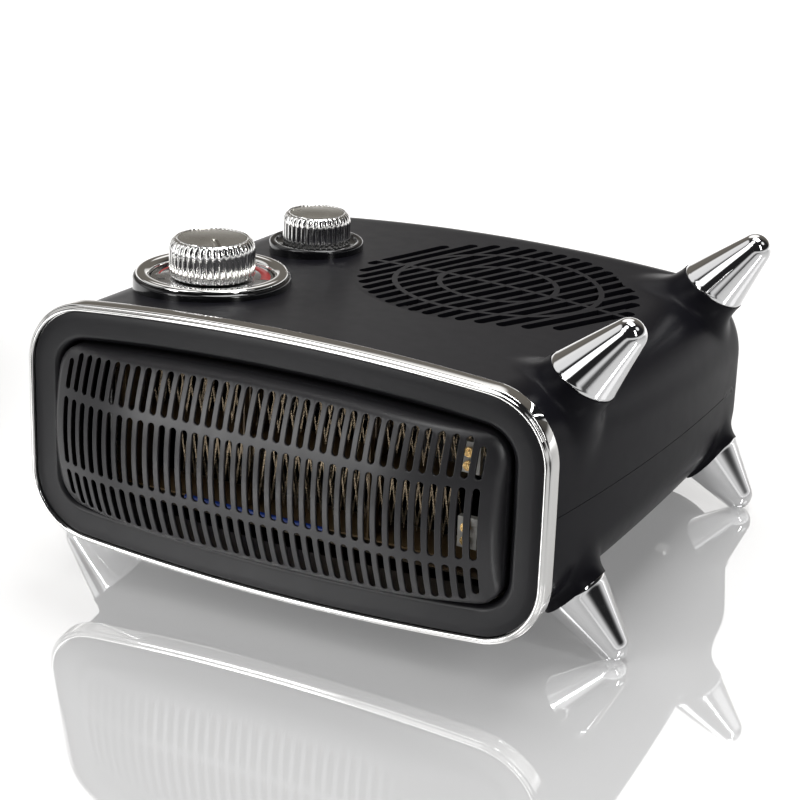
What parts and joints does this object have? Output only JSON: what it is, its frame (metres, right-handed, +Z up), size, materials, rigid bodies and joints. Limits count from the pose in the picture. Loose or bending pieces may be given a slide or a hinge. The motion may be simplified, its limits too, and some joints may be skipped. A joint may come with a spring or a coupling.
{
  "type": "fan heater",
  "caption": "Low wide black electric fan heater with a chrome-ringed slotted front, a top air intake, two fluted chrome control knobs and splayed chrome cone legs.",
  "frame": {"origin": "centre of the overall box, on the floor", "axes": "+X to the right seen from the front, +Y to the back, so the outlet grille faces -Y, +Z up; the case leans back on its legs about X"},
  "size_m": [0.2936, 0.2606, 0.1551],
  "materials": {
    "case": "satin",
    "bezel": "satin",
    "grille": "satin",
    "chrome": "polished",
    "chrome_leg": "polished",
    "knob_chrome": "polished",
    "satin_cap": "satin",
    "dial_silver": "satin",
    "gloss_black": "polished",
    "steel": "satin",
    "zinc": "satin",
    "thermostat": "satin",
    "switch_plastic": "matte",
    "wheel_plastic": "matte",
    "aluminium": "satin",
    "laminations": "matte",
    "copper": "satin",
    "galvanised": "satin",
    "mica": "matte",
    "resistance_wire": "satin",
    "ceramic": "satin",
    "brass": "satin",
    "fuse_metal": "satin",
    "blue_lead": "satin",
    "gland": "matte"
  },
  "bodies": {
    "housing": {"upper_case": "case", "lower_case": "case", "chrome_ring": "chrome", "front_bezel": "bezel", "front_grille": "grille", "leg_upper_front": "chrome_leg", "leg_upper_rear": "chrome_leg", "leg_lower_front_right": "chrome_leg", "leg_lower_rear_right": "chrome_leg", "leg_lower_front_left": "chrome_leg", "leg_lower_rear_left": "chrome_leg", "leg_screws": "zinc", "dial_collar": "gloss_black", "dial_ring": "chrome", "dial_plate": "dial_silver", "thermostat_body": "thermostat", "selector_collar": "gloss_black", "selector_switch": "switch_plastic", "motor_stator": "laminations", "motor_coil": "copper", "motor_bridge": "steel", "motor_screws": "zinc", "fan_scroll": "wheel_plastic", "scroll_cover": "wheel_plastic", "element_duct": "galvanised", "mica_boards": "mica", "heating_wire_upper": "resistance_wire", "heating_wire_lower": "resistance_wire", "ceramic_holder": "ceramic", "terminals": "brass", "thermal_cutout": "switch_plastic", "thermal_fuse": "fuse_metal", "motor_lead": "blue_lead", "cord_gland": "gland", "cord_clamp": "switch_plastic", "case_screws": "zinc"},
    "thermostat_control": {"thermostat_knob": "knob_chrome", "thermostat_knob_cap": "satin_cap", "thermostat_spindle": "steel"},
    "selector_control": {"selector_knob": "knob_chrome", "selector_knob_cap": "satin_cap", "selector_spindle": "switch_plastic"},
    "fan_rotor": {"fan_wheel": "wheel_plastic", "motor_shaft": "steel", "motor_rotor": "aluminium"}
  },
  "joints": [
    {"name": "thermostat_turn", "type": "hinge", "parent": "housing", "child": "thermostat_control", "pos_m": [-0.0743, -0.03615, 0.12663], "axis": [0, 0.1018, 0.9948], "range_deg": [-210, 60]},
    {"name": "selector_turn", "type": "hinge", "parent": "housing", "child": "selector_control", "pos_m": [-0.0693, 0.0502, 0.1178], "axis": [0, 0.1018, 0.9948], "range_deg": [-135, 0]},
    {"name": "fan_spin", "type": "hinge", "parent": "housing", "child": "fan_rotor", "pos_m": [0.0345, 0.03525, 0.06505], "axis": [0, 0.1018, 0.9948], "continuous": true}
  ]
}
